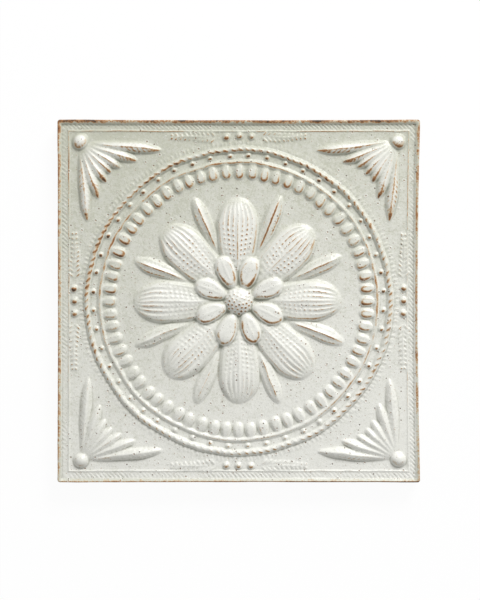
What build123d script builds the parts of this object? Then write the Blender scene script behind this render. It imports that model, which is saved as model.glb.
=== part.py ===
"""A square handmade relief tile: one piece of press-moulded stoneware, lying face up.

Millimetres. The origin is the middle of the flat back, +Z points out of the face, and +Y is the
face's upper edge. The face has a raised rim, two round mouldings with beads between them, a ring
of gadroons inside them, a layered flower in the middle, a fan of leaves in each corner, and a row
of beads on each side.
"""
from build123d import *
import os
from math import atan2, degrees

# Slab
tile_width = 200.0
tile_length = 200.0
slab_thickness = 10.5
right_edge_bow = 1.3
left_edge_bow = 0.3
top_edge_bow = 0.3
bottom_edge_bow = 0.2
corner_round = 1.5
back_round = 1.2

# Raised rim
rim_width = 2.4
rim_height = 1.5
rim_round = 0.8
pocket_corner_round = 2.0

# Round mouldings, with beads on the band between them
rim_to_moulding = 14.0
outer_moulding_radius = 1.7
moulding_gap = 7.0
inner_moulding_radius = 1.3
moulding_sink = 0.2
band_bead_count = 48
band_bead_radius = 1.6
band_bead_sink = 0.35

# Gadroons: short round ridges that run in side by side from under the inner moulding
gadroon_count = 64
gadroon_tuck = 0.4
gadroon_length = 9.5
gadroon_half_width = 2.9
gadroon_height = 1.7

# Flower: petals, sepals between them, heart petals on top and a boss in the middle
ground_band = 18.0
petal_count = 8
petal_start = 12.0
petal_half_width = 11.6
petal_height = 3.2
sepal_start = 30.0
sepal_overreach = 4.5
sepal_half_width = 4.2
sepal_height = 2.2
heart_petal_start = 6.5
heart_petal_length = 20.0
heart_petal_half_width = 5.8
heart_petal_height = 4.6
boss_half_width = 8.6
boss_height = 5.6

# Fan of leaves in each corner, with a bead at its foot
fan_inset = 10.0
fan_leaf_count = 7
fan_leaf_step = 13.0
fan_middle_tip = 25.0
fan_outer_tip = 45.0
fan_tip_power = 2.3
fan_leaf_start = 2.4
fan_leaf_half_width = 3.0
fan_leaf_height = 2.4
fan_bead_radius = 4.6
fan_bead_sink = 1.6

# Row of beads in the middle of each side
side_bead_radius = 2.1
side_bead_sink = 0.5
side_bead_pitch = 6.8
side_bead_count = 3

# Where along its length a petal or leaf is highest, and how far each form is let into the slab
lobe_peak = 0.64
bury = 0.6

# Places worked out from the sizes above
half_width = tile_width / 2
half_length = tile_length / 2
outer_moulding = min(half_width, half_length) - rim_width - rim_to_moulding
inner_moulding = outer_moulding - moulding_gap
petal_tip = inner_moulding - inner_moulding_radius - ground_band
petal_step = 360.0 / petal_count


def outline(inset, round_radius):
    """The tile's outline, or one set in from it: four sides, each bowed in towards its middle."""
    across = half_width - inset
    along = half_length - inset
    sides = [
        ThreePointArc((-across, along), (0, along - top_edge_bow), (across, along)),
        ThreePointArc((across, along), (across - right_edge_bow, 0), (across, -along)),
        ThreePointArc((across, -along), (0, bottom_edge_bow - along), (-across, -along)),
        ThreePointArc((-across, -along), (left_edge_bow - across, 0), (-across, along)),
    ]
    face = make_face(Curve() + sides)
    return fillet(face.vertices(), round_radius)


def slab():
    """The slab with its raised rim, all its outer edges softly rounded."""
    body = extrude(outline(0.0, corner_round), slab_thickness + rim_height)
    pocket = extrude(outline(rim_width, pocket_corner_round), rim_height)
    body -= Pos(0, 0, slab_thickness) * pocket
    body = fillet(body.edges().group_by(Axis.Z)[-1], rim_round)
    return fillet(body.edges().group_by(Axis.Z)[0], back_round)


def above_ground(shape):
    """The part of a relief form that shows, with a little below the ground to join the slab."""
    reach = tile_width + tile_length
    low_middle = (Align.CENTER, Align.CENTER, Align.MIN)
    return shape & Pos(0, 0, -bury) * Box(reach, reach, reach, align=low_middle)


def cap_radius(half_chord, height):
    """Radius of the circle whose cap has this half chord and this height."""
    return (half_chord**2 + height**2) / (2 * height)


def lobe(start, tip, lobe_half_width, height):
    """A petal or leaf lying along +X from start to tip. It is an arc of a circle in every
    cross-section, and along its crest it rises to its peak and rounds over to its tip."""
    section_radius = cap_radius(lobe_half_width, height)
    depth = section_radius - height
    peak_x = start + lobe_peak * (tip - start)
    crest = [
        TangentArc((peak_x, section_radius), (start, depth), tangent=(-1, 0)),
        TangentArc((peak_x, section_radius), (tip, depth), tangent=(1, 0)),
    ]
    foot = Polyline((tip, depth), (tip, 0), (start, 0), (start, depth))
    profile = make_face(Curve() + crest + [foot])
    return above_ground(Pos(0, 0, -depth) * revolve(Plane.XZ * profile, Axis.X, 360))


def bead(radius, sink):
    """A round bead standing out of the ground."""
    return above_ground(Pos(0, 0, -sink) * Sphere(radius))


def ring(shape, count, first_angle=0.0):
    """Copies of a form evenly round the tile's middle."""
    return [Rot(0, 0, first_angle + 360.0 / count * i) * shape for i in range(count)]


def mouldings():
    """The two round mouldings and the beads on the band between them."""
    rounds = [
        Pos(0, 0, -moulding_sink) * Torus(outer_moulding, outer_moulding_radius),
        Pos(0, 0, -moulding_sink) * Torus(inner_moulding, inner_moulding_radius),
    ]
    band_middle = (outer_moulding + inner_moulding) / 2
    band_bead = Pos(band_middle, 0, 0) * bead(band_bead_radius, band_bead_sink)
    return rounds + ring(band_bead, band_bead_count, 180.0 / band_bead_count)


def gadroons():
    """A ring of gadroons, each with its rounded end towards the tile's middle."""
    gadroon = lobe(gadroon_tuck, gadroon_length, gadroon_half_width, gadroon_height)
    return ring(Pos(inner_moulding, 0, 0) * Rot(0, 0, 180) * gadroon, gadroon_count)


def flower():
    """Sepals, petals, heart petals and the boss, each layer standing higher than the last."""
    sepal = lobe(sepal_start, petal_tip + sepal_overreach, sepal_half_width, sepal_height)
    petal = lobe(petal_start, petal_tip, petal_half_width, petal_height)
    heart_tip = heart_petal_start + heart_petal_length
    heart_petal = lobe(heart_petal_start, heart_tip, heart_petal_half_width, heart_petal_height)
    boss_radius = cap_radius(boss_half_width, boss_height)
    sepals = ring(sepal, petal_count, petal_step / 2)
    petals = ring(petal, petal_count)
    heart_petals = ring(heart_petal, petal_count, petal_step / 2)
    return sepals + petals + heart_petals + [bead(boss_radius, boss_radius - boss_height)]


def leaf_fan():
    """A bead at the origin and a fan of leaves about +X, the outer ones reaching furthest."""
    outermost = (fan_leaf_count - 1) / 2
    leaves = []
    for i in range(fan_leaf_count):
        place = i - outermost
        share = (abs(place) / outermost) ** fan_tip_power
        tip = fan_middle_tip + (fan_outer_tip - fan_middle_tip) * share
        leaf = lobe(fan_leaf_start, tip, fan_leaf_half_width, fan_leaf_height)
        leaves.append(Rot(0, 0, fan_leaf_step * place) * leaf)
    return bead(fan_bead_radius, fan_bead_sink) + leaves


def corner_fans():
    """A fan of leaves in each corner, opening towards the middle of the tile."""
    fan = leaf_fan()
    forms = []
    for x_side in (-1, 1):
        for y_side in (-1, 1):
            foot_x = x_side * (half_width - rim_width - fan_inset)
            foot_y = y_side * (half_length - rim_width - fan_inset)
            turn = degrees(atan2(-y_side, -x_side))
            forms.append(Pos(foot_x, foot_y, 0) * Rot(0, 0, turn) * fan)
    return forms


def side_beads():
    """A short row of beads in the middle of each side, between the rim and the moulding."""
    first = -side_bead_pitch * (side_bead_count - 1) / 2
    steps = [first + side_bead_pitch * i for i in range(side_bead_count)]
    row_x = half_width - rim_width - rim_to_moulding / 2
    row_y = half_length - rim_width - rim_to_moulding / 2
    places = [Pos(side * row_x, step, 0) for side in (-1, 1) for step in steps]
    places += [Pos(step, side * row_y, 0) for side in (-1, 1) for step in steps]
    return [place * bead(side_bead_radius, side_bead_sink) for place in places]


def main():
    relief = mouldings() + gadroons() + flower() + corner_fans() + side_beads()
    tile = slab() + [Pos(0, 0, slab_thickness) * form for form in relief]
    os.makedirs("parts", exist_ok=True)
    export_step(tile, "parts/tile.step")


main()
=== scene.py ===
"""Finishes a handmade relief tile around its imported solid: pressed clay face, glaze and stage.

All lengths here are metres. The face is made the way such a tile is: the raised forms are laid
out as a mould, the blank is pressed into it, and the glaze then softens every hollow.
"""

import math

import bmesh
import bpy
import numpy as np
from bpy.props import FloatProperty, FloatVectorProperty, IntProperty, PointerProperty
from mathutils import Matrix, Vector


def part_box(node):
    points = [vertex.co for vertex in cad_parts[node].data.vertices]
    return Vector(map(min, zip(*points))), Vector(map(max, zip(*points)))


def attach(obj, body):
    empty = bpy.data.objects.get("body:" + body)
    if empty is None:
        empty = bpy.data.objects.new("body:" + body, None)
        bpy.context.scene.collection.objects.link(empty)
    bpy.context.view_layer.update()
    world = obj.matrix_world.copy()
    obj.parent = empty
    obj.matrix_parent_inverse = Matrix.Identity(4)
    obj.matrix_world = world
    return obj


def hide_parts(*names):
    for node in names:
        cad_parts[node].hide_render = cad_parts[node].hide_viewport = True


bl_info = {
    "name": "Handmade Relief Tile",
    "version": (1, 0, 0),
    "blender": (4, 5, 0),
    "location": "3D View > Sidebar > Tile",
    "description": "Presses, glazes and lights a handmade stoneware relief tile",
    "category": "Object",
}

MM = 0.001
FULL_TURN = 2 * math.pi
GOLDEN_ANGLE = FULL_TURN * (2 - (1 + math.sqrt(5)) / 2)
BODY_NODE = "tile"
PHOTO_WIDTH_PX = 480
PHOTO_HEIGHT_PX = 600
SENSOR_MM = 36.0

# Numbers of a Mix node's two inputs and its output, by the kind of value it mixes
MIX_SOCKETS = {"FLOAT": (2, 3, 0), "VECTOR": (4, 5, 1), "RGBA": (6, 7, 2)}

# The blank's sizes that the tree for the pressed face takes as inputs
PRESS_SIZES = (
    "ground", "half_side", "rim_top", "rim_left", "rim_right", "rim_bottom", "rim_height",
    "rim_round", "line_inset", "line_height", "line_half_width", "hatch_pitch", "hatch_height",
    "right_bow", "left_bow", "top_bow", "bottom_bow", "side_wobble", "ground_wobble",
    "hand_drift", "glaze_fill", "crest_reach", "ray_spread",
)

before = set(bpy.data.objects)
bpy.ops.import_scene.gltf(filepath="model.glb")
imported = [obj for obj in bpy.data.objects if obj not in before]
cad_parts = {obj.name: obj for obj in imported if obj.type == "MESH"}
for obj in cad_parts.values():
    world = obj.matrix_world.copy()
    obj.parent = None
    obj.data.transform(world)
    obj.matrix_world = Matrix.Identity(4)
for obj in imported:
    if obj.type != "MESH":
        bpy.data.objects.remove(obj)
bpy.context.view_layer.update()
tile_low, tile_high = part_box(BODY_NODE)


# Settings


def length(name, millimetres, description):
    """A length property, given in millimetres."""
    return FloatProperty(
        name=name, description=description, default=millimetres * MM, unit="LENGTH", precision=5
    )


def angle(name, degrees, description):
    """An angle property, given in degrees."""
    return FloatProperty(
        name=name, description=description, default=math.radians(degrees), subtype="ANGLE"
    )


def number(name, value, description):
    """A plain number property."""
    return FloatProperty(name=name, description=description, default=value, precision=4)


def count(name, value, description):
    """A whole number property."""
    return IntProperty(name=name, description=description, default=value, min=1)


def colour(name, value, description):
    """A colour property, in linear light."""
    return FloatVectorProperty(
        name=name, description=description, default=value, size=3, subtype="COLOR", min=0, max=1
    )


class BlankSizes(bpy.types.PropertyGroup):
    """The clay blank: a slab with a raised rim, a hatched border and gently bowed sides."""

    half_side: length("Half side", round(tile_high.x / MM, 1), "Half the width of the tile")
    ground: length("Ground height", 10.5, "Height of the plain ground above the back")
    rim_top: length("Upper rim width", 2.0, "Width of the rim along the upper side")
    rim_left: length("Left rim width", 1.7, "Width of the rim along the left side")
    rim_right: length("Right rim width", 1.8, "Width of the rim along the right side")
    rim_bottom: length("Lower rim width", 1.3, "Width of the rim along the lower side")
    rim_height: length("Rim height", 1.5, "How far the rim stands above the ground")
    rim_round: length("Rim round", 0.8, "Radius of the rim's edges")
    line_inset: length("Border line inset", 6.1, "Distance of the border line from the tile's edge")
    line_height: length("Border line height", 0.5, "Height of the border line")
    line_half_width: length("Border line half width", 0.42, "Half the width of the border line")
    hatch_pitch: length("Hatch pitch", 2.4, "Distance from one hatched stroke to the next")
    hatch_height: length("Hatch height", 0.3, "Height of the hatched strokes")
    corner_round: length("Corner round", 1.5, "Radius of the corners seen from above")
    back_round: length("Back round", 1.2, "Radius of the edge round the back")
    right_bow: length("Right bow", 1.3, "How far the right side bows in")
    left_bow: length("Left bow", 0.3, "How far the left side bows in")
    top_bow: length("Top bow", 0.3, "How far the upper side bows in")
    bottom_bow: length("Bottom bow", 0.2, "How far the lower side bows in")
    side_wobble: length("Side wobble", 0.3, "Unevenness of the hand-trimmed sides")
    ground_wobble: length("Ground wobble", 0.18, "Unevenness of the hand-pressed face")
    hand_drift: length("Hand drift", 2.6, "How far the hand-cut forms stray from true, at most")
    grid_step: length("Grid step", 0.32, "Spacing of the points pressed into the mould")
    ray_spread: length("Ray spread", 0.12, "How far apart each point's rays feel for the mould")
    glaze_fill: count("Glaze fill", 7, "Blur steps with which the glaze fills hollows")
    crest_reach: count("Crest reach", 11, "Blur steps against which a ridge counts as sharp")
    triangle_limit: count("Triangle limit", 192000, "Most triangles in the finished body")


class ReliefSizes(bpy.types.PropertyGroup):
    """The raised forms on the face."""

    petal_count: count("Petals", 8, "Petals in each layer of the flower")
    petal_start: length("Petal start", 12.0, "Radius where a petal starts")
    petal_tip: length("Petal tip", 57.3, "Radius of a petal's tip")
    petal_half_width: length("Petal half width", 11.6, "Half the width of a petal")
    petal_height: length("Petal height", 3.2, "Height of a petal above the ground")
    sepal_start: length("Sepal start", 30.0, "Radius where a sepal starts")
    sepal_tip: length("Sepal tip", 61.8, "Radius of a sepal's tip")
    sepal_half_width: length("Sepal half width", 4.2, "Half the width of a sepal")
    sepal_height: length("Sepal height", 2.2, "Height of a sepal above the ground")
    heart_start: length("Heart petal start", 6.5, "Radius where a heart petal starts")
    heart_tip: length("Heart petal tip", 26.5, "Radius of a heart petal's tip")
    heart_half_width: length("Heart petal half width", 5.8, "Half the width of a heart petal")
    heart_height: length("Heart petal height", 4.6, "Height of a heart petal above the ground")
    boss_half_width: length("Boss half width", 8.6, "Half the width of the boss")
    boss_height: length("Boss height", 5.2, "Height of the boss under its seeds")
    seed_count: count("Seeds", 46, "Seeds on the boss")
    seed_radius: length("Seed radius", 0.75, "Radius of a seed")
    outer_moulding: length("Outer moulding", 83.6, "Radius of the outer round moulding")
    outer_round: length("Outer moulding round", 1.7, "Radius of its section")
    inner_moulding: length("Inner moulding", 76.6, "Radius of the inner round moulding")
    inner_round: length("Inner moulding round", 1.3, "Radius of its section")
    moulding_sink: length("Moulding sink", 0.2, "How far a moulding is let into the ground")
    strand_count: count("Strands", 132, "Strands of the outer moulding's twist")
    strand_half_length: length("Strand half length", 2.5, "Half the length of a strand")
    strand_half_width: length("Strand half width", 1.05, "Half the width of a strand")
    strand_rise: length("Strand rise", 0.35, "How far a strand stands above the moulding")
    strand_turn: angle("Strand turn", 52.0, "Angle between a strand and the tile's radius")
    fringe_count: count("Fringe strokes", 232, "Fine strokes round the outer moulding")
    fringe_radius: length("Fringe radius", 87.0, "Radius of the middle of the fringe")
    fringe_half_length: length("Fringe half length", 1.5, "Half the length of a fringe stroke")
    fringe_half_width: length("Fringe half width", 0.55, "Half the width of a fringe stroke")
    fringe_height: length("Fringe height", 0.42, "Height of a fringe stroke above the ground")
    band_bead_count: count("Band beads", 48, "Beads between the mouldings")
    band_bead_radius: length("Band bead radius", 1.6, "Radius of a bead between the mouldings")
    band_bead_sink: length("Band bead sink", 0.35, "How far it is let into the ground")
    gadroon_count: count("Gadroons", 64, "Gadroons inside the inner moulding")
    gadroon_tuck: length("Gadroon tuck", 0.4, "Distance from the moulding's middle to a gadroon")
    gadroon_length: length("Gadroon length", 9.5, "Distance from the moulding to a gadroon's tip")
    gadroon_half_width: length("Gadroon half width", 2.9, "Half the width of a gadroon")
    gadroon_height: length("Gadroon height", 1.7, "Height of a gadroon above the ground")
    fan_inset: length("Fan inset", 12.4, "Distance from the tile's edge to the foot of a fan")
    fan_leaf_count: count("Fan leaves", 7, "Leaves in each fan")
    fan_leaf_step: angle("Fan leaf step", 13.0, "Angle from one leaf of a fan to the next")
    fan_middle_tip: length("Fan middle tip", 25.0, "Length of the middle leaf of a fan")
    fan_outer_tip: length("Fan outer tip", 45.0, "Length of the outer leaves of a fan")
    fan_tip_power: number("Fan tip power", 2.3, "How quickly the leaves lengthen outwards")
    fan_leaf_start: length("Fan leaf start", 2.4, "Distance from a fan's foot to its leaves")
    fan_leaf_half_width: length("Fan leaf half width", 3.0, "Half the width of a fan leaf")
    fan_leaf_height: length("Fan leaf height", 2.4, "Height of a fan leaf above the ground")
    fan_bead_radius: length("Fan bead radius", 4.6, "Radius of the bead at a fan's foot")
    fan_bead_sink: length("Fan bead sink", 1.6, "How far it is let into the ground")
    side_bead_radius: length("Side bead radius", 2.1, "Radius of the beads in the middle of a side")
    side_bead_sink: length("Side bead sink", 0.5, "How far they are let into the ground")
    side_bead_pitch: length("Side bead pitch", 6.8, "Distance from one side bead to the next")
    side_bead_row: length("Side bead row", 90.6, "Distance of the side beads from the middle")
    frond_start: length("Frond start", 12.5, "Distance from a side's middle to its two fronds")
    frond_length: length("Frond length", 26.0, "Length of a frond's stem")
    frond_barb_count: count("Frond barbs", 10, "Barbs on each side of a frond's stem")
    frond_barb_length: length("Frond barb length", 5.2, "Length of the longest barb")
    frond_barb_half_width: length("Frond barb half width", 0.62, "Half the width of a barb")
    frond_height: length("Frond height", 0.75, "Height of a frond above the ground")
    frond_taper: number("Frond taper", 0.55, "Share by which the last barb is shorter")
    frond_turn: angle("Frond barb turn", 43.0, "Angle between a barb and the stem")
    lobe_peak: number("Lobe peak", 0.64, "Where along a petal or leaf it is highest")


class GlazeLook(bpy.types.PropertyGroup):
    """Colours and sizes of the glaze, the body showing through it and the bare clay."""

    glaze: colour("Glaze", (0.518, 0.525, 0.43), "Grey-green glaze where it lies even")
    # A pale glaze tone, also used as a painted highlight over full forms and on the pits' lips.
    pale_and_highlight: colour("Thick glaze", (0.825, 0.823, 0.77), "Whiter glaze over full forms")
    # Also the painted shade in hollows and on the lower flanks of forms, partly real glaze lying
    # deeper there.
    pooled_and_shade: colour("Pooled glaze", (0.31, 0.315, 0.25), "Darker glaze lying deep in hollows")
    tan: colour("Tan", (0.57, 0.42, 0.25), "Thin glaze at the edge of a break")
    rust: colour("Rust", (0.36, 0.165, 0.06), "Glaze broken over a ridge")
    # Its darkest tone also paints the shadow along the tile's lower edge.
    iron: colour("Iron", (0.06, 0.036, 0.021), "Iron specks and burnt edges")
    clay: colour("Clay", (0.47, 0.31, 0.195), "Bare fired clay of the back")
    break_start: number("Break start", 0.10, "Ridge sharpness in mm where the glaze thins")
    break_full: number("Break full", 0.24, "Ridge sharpness in mm where rust shows fully")
    rim_wear: number("Rim wear", 0.15, "How thin the glaze lies all over the rim")
    edge_wear: number("Edge wear", 0.13, "How much thinner it lies at the outer edge")
    speck_wear: number("Speck wear", 0.34, "How much the rim's wear varies from speck to speck")
    patch_wear: number("Patch wear", 0.4, "How much the rim's wear varies from patch to patch")
    upper_burn: number("Upper burn", 0.13, "How much thinner the glaze lies on the upper rim")
    # Painted shadow along the tile's lower edge, laid on as thin, darkening glaze.
    lower_edge_shadow: number("Lower burn", 0.32, "How much thinner it lies at the lower edge")
    # Painted highlight: how pale the highest forms are painted.
    full_form_highlight: number("Thick on full forms", 0.93, "Share of thick glaze over the highest forms")
    # Paler towards the lower right: the share of the pale tone at the middle, and its gain per metre.
    middle_paleness: number("Thick on the ground", 0.585, "Share of thick glaze at the tile's middle")
    paler_rightwards: number("Thicker to the right", 1.2, "Gain in that share for a metre rightwards")
    paler_downwards: number("Thicker downwards", 4.9, "Gain in that share for a metre downwards")
    glaze_line: length("Glaze line", 2.6, "Height above the back where the glaze ends")
    bump_depth: length("Bump depth", 0.13, "Depth of the finest surface relief")


class StageSizes(bpy.types.PropertyGroup):
    """Camera, floor and lights."""

    lens: number("Lens", 100.0, "Focal length in millimetres")
    tile_px: number("Tile width in photo", 363.0, "Width of the tile in the photograph's pixels")
    centre_x_px: number("Centre x", 238.8, "Tile centre, pixels from the photograph's left")
    centre_y_px: number("Centre y", 301.0, "Tile centre, pixels from the photograph's top")
    world_light: number("World light", 0.45, "Strength of the even light from all round")
    key_power: number("Key power", 30.0, "Power of the main lamp in watts")
    key_size: length("Key size", 650.0, "Width of the main lamp")
    key_right: length("Key right", 620.0, "How far to the right the main lamp stands")
    key_up: length("Key up", 1300.0, "How far beyond the tile's upper edge the main lamp stands")
    key_height: length("Key height", 1050.0, "Height of the main lamp")
    floor: colour("Floor", (0.95, 0.95, 0.95), "Floor colour")
    floor_white: number("Floor white", 0.95, "Share of plain white in the floor as it is seen")


# Node trees and meshes


class Wiring:
    """A node tree with short ways to add nodes and links."""

    def __init__(self, tree):
        self.tree = tree

    def node(self, kind, inputs=(), **settings):
        """A new node. inputs pairs socket names or numbers with values or other sockets."""
        made = self.tree.nodes.new(kind)
        for key, value in settings.items():
            setattr(made, key, value)
        for key, value in dict(inputs).items():
            self.feed(made.inputs[key], value)
        return made

    def feed(self, socket, value):
        """Links value to the socket if it is a socket, and otherwise sets it."""
        if isinstance(value, bpy.types.NodeSocket):
            self.tree.links.new(value, socket)
        else:
            socket.default_value = value

    def math(self, operation, first, second=0.0, third=0.0):
        """A Math node's result."""
        inputs = {0: first, 1: second, 2: third}
        return self.node("ShaderNodeMath", inputs, operation=operation).outputs[0]

    def add(self, *values):
        """The sum of two or more values."""
        total = values[0]
        for value in values[1:]:
            total = self.math("ADD", total, value)
        return total

    def times(self, *values):
        """The product of two or more values."""
        total = values[0]
        for value in values[1:]:
            total = self.math("MULTIPLY", total, value)
        return total

    def less(self, first, second):
        """first minus second."""
        return self.math("SUBTRACT", first, second)

    def smooth(self, value, low, high, to_low=0.0, to_high=1.0):
        """value eased from to_low at low to to_high at high."""
        inputs = {0: value, 1: low, 2: high, 3: to_low, 4: to_high}
        made = self.node("ShaderNodeMapRange", inputs, interpolation_type="SMOOTHSTEP")
        return made.outputs[0]

    def parts(self, vector):
        """The three numbers of a vector."""
        return self.node("ShaderNodeSeparateXYZ", {0: vector}).outputs

    def vector(self, x=0.0, y=0.0, z=0.0):
        """Three numbers joined into a vector."""
        return self.node("ShaderNodeCombineXYZ", {0: x, 1: y, 2: z}).outputs[0]

    def vector_math(self, operation, first, second=(0.0, 0.0, 0.0)):
        """A Vector Math node's vector."""
        return self.node("ShaderNodeVectorMath", {0: first, 1: second}, operation=operation).outputs[0]

    def noise(self, place, size, detail=2.0, roughness=0.5):
        """Noise about zero, mostly from -0.25 to 0.25, with features about size metres across."""
        inputs = {"Vector": place, "Scale": 1.0 / size, "Detail": detail, "Roughness": roughness}
        return self.less(self.node("ShaderNodeTexNoise", inputs).outputs[0], 0.5)

    def noise_pair(self, place, per_metre, detail, roughness=0.5):
        """Two unlike noises about zero, each with about per_metre features to the metre."""
        inputs = {"Vector": place, "Scale": per_metre, "Detail": detail, "Roughness": roughness}
        first, second, _ = self.parts(self.node("ShaderNodeTexNoise", inputs).outputs["Color"])
        return self.less(first, 0.5), self.less(second, 0.5)


def label(name):
    """A socket's name, made from a value's name."""
    return name.replace("_", " ").capitalize()


def geometry_tree(name, sockets):
    """A new geometry tree with named inputs: (name, socket type, default) each. Returns its
    wiring, a dict of input sockets and the group's output node."""
    tree = bpy.data.node_groups.new(name, "GeometryNodeTree")
    tree.interface.new_socket("Geometry", in_out="INPUT", socket_type="NodeSocketGeometry")
    for title, kind, default in sockets:
        item = tree.interface.new_socket(title, in_out="INPUT", socket_type="NodeSocket" + kind)
        if default is not None:
            item.default_value = default
    tree.interface.new_socket("Geometry", in_out="OUTPUT", socket_type="NodeSocketGeometry")
    entry = tree.nodes.new("NodeGroupInput")
    given = {socket.name: socket for socket in entry.outputs if socket.name}
    return Wiring(tree), given, tree.nodes.new("NodeGroupOutput")


def finish_tree(w, geometry, material, out):
    """Ends a tree: instances made real, material set, geometry passed out."""
    real = w.node("GeometryNodeRealizeInstances", {"Geometry": geometry})
    painted = w.node("GeometryNodeSetMaterial", {"Geometry": real.outputs[0], "Material": material})
    w.feed(out.inputs[0], painted.outputs[0])
    return w.tree


def with_modifier(piece, tree, values):
    """Adds a Geometry Nodes modifier to the piece and sets the inputs that values names."""
    modifier = piece.modifiers.new(tree.name, "NODES")
    modifier.node_group = tree
    for item in tree.interface.items_tree:
        if item.in_out == "INPUT" and item.name in values:
            modifier[item.identifier] = values[item.name]
    return piece


def applied(piece):
    """The piece as a plain mesh object, with its modifiers carried out."""
    bpy.context.view_layer.update()
    graph = bpy.context.evaluated_depsgraph_get()
    mesh = bpy.data.meshes.new_from_object(piece.evaluated_get(graph))
    piece.modifiers.clear()
    old = piece.data
    piece.data = mesh
    mesh.name = piece.name
    bpy.data.meshes.remove(old)
    return piece


def mesh_object(name, points, faces):
    """A smooth-shaded mesh object from arrays of points and faces."""
    mesh = bpy.data.meshes.new(name)
    mesh.from_pydata(points.tolist(), [], faces)
    mesh.polygons.foreach_set("use_smooth", [True] * len(mesh.polygons))
    mesh.update()
    made = bpy.data.objects.new(name, mesh)
    bpy.context.scene.collection.objects.link(made)
    return made


def sheet_faces(rows, columns):
    """Quads of a grid of rows by columns points, numbered row by row."""
    row = np.arange(rows - 1)[:, None] * columns
    first = (row + np.arange(columns - 1)[None, :]).ravel()
    return np.stack([first, first + 1, first + columns + 1, first + columns], axis=1).tolist()


# Forms of the mould


def cap_radius(half_chord, height):
    """Radius of the circle whose cap has this half chord and this height."""
    return (half_chord**2 + height**2) / (2 * height)


def crest_height(along, start, tip, peak, height):
    """Height of a lobe's crest: an arc up to its peak and another down to its tip."""
    rise = cap_radius(peak - start, height)
    fall = cap_radius(tip - peak, height)
    radius = np.where(along < peak, rise, fall)
    return np.sqrt(np.maximum(radius**2 - (along - peak) ** 2, 0.0)) - radius + height


def lobe_form(name, start, tip, half_width, height, peak_share, ground, carve, rows, columns):
    """A petal or leaf of the mould, lying along +X: its outline is the solid's, and its section
    is plump, with steep sides. carve(along, across) adds fine relief in metres, where along runs
    0 to 1 from foot to tip and across -1 to 1 from side to side."""
    plump_ends, section_power, section_root = 0.75, 2.4, 0.55
    depth = max(cap_radius(half_width, height) - height, 0.0)
    full_spread = math.sqrt(height**2 + 2 * depth * height)
    along = 0.5 - 0.5 * np.cos(np.linspace(0, np.pi, rows))
    x = start + (tip - start) * along
    crest = crest_height(x, start, tip, start + peak_share * (tip - start), height)
    crest = np.maximum(crest, 0.0)
    half_widths = half_width / full_spread * np.sqrt(crest**2 + 2 * depth * crest)
    across = np.sin(np.linspace(-np.pi / 2, np.pi / 2, columns))
    section = np.maximum(1 - np.abs(across) ** section_power, 0.0) ** section_root
    plump = height * (crest / height) ** plump_ends
    z = plump[:, None] * section
    z = z + carve(np.broadcast_to(along[:, None], z.shape), np.broadcast_to(across, z.shape))
    y = half_widths[:, None] * across
    points = np.stack([np.broadcast_to(x[:, None], z.shape), y, z + ground], axis=-1)
    return mesh_object(name, points.reshape(-1, 3), sheet_faces(rows, columns))


def ridge(distance, width):
    """A soft ridge profile: 1 at distance 0, falling away over width."""
    return np.exp(-((distance / width) ** 2))


def strokes(along, across, stroke_count, slant):
    """Short strokes one after another along a lobe, slanting back from its middle: 0 to 1."""
    phase = (along - slant * np.abs(across)) * FULL_TURN * stroke_count
    return (0.5 + 0.5 * np.cos(phase)) ** 1.5


def petal_carving(along, across):
    """A crisp midrib and side veins that bend away from it. The veins are plain towards the
    tip and break up into rows of short strokes towards the foot. The edge is lightly rolled."""
    fade = np.clip(along * 5, 0, 1) * np.clip((1 - along) * 7, 0, 1)
    stroked = np.clip((0.74 - along) * 5, 0, 1)
    broken_up = 1 - stroked * (1 - strokes(along, across, 17, 0.05))
    carved = 0.5 * MM * ridge(across, 0.06)
    for bend, height in ((0.24, 0.75), (0.49, 0.85), (0.74, 0.6)):
        vein = ridge(np.abs(across) - bend * np.clip(along, 0, 1) ** 0.2, 0.052)
        carved = carved + height * MM * vein * broken_up
    hollow = -0.55 * MM * ridge(np.abs(across) - 0.45, 0.36)
    rolled = 0.36 * MM * ridge(np.abs(across) - 0.84, 0.08)
    return (carved + hollow + rolled) * fade


def sepal_carving(along, across):
    """A sharp keel between two hollow flanks, with fine strokes along them."""
    fade = np.clip(along * 4, 0, 1) * np.clip((1 - along) * 4, 0, 1)
    keel = 0.6 * MM * ridge(across, 0.12)
    flank = ridge(np.abs(across) - 0.5, 0.26)
    return (keel - 0.6 * MM * flank + 0.3 * MM * flank * strokes(along, across, 14, 0.07)) * fade


def heart_carving(along, across):
    """A shallow dish with a raised lip, like a spoon, and a fine midrib."""
    fade = np.clip(along * 3, 0, 1)
    reach = np.hypot(across, (along - 0.55) * 1.9)
    dish = -1.1 * MM * np.clip(1 - (reach / 0.7) ** 2, 0, 1) ** 0.8
    return (dish + 0.35 * MM * ridge(across, 0.09) * (reach < 0.75)) * fade


def leaf_carving(along, across):
    """A keel, and short slanting cuts along both flanks."""
    fade = np.clip(along * 4, 0, 1) * np.clip((1 - along) * 5, 0, 1)
    keel = 0.4 * MM * ridge(across, 0.12)
    cuts = -0.55 * MM * strokes(along, across, 15, 0.1) * ridge(np.abs(across) - 0.6, 0.36)
    return (keel + cuts) * fade


def no_carving(along, across):
    """A form left smooth."""
    return np.zeros_like(along * across)


def gadroon_carving(along, across):
    """A shallow flute down the middle."""
    fade = np.clip(along * 3, 0, 1) * np.clip((1 - along) * 3, 0, 1)
    return -0.3 * MM * ridge(across, 0.35) * fade


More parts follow.
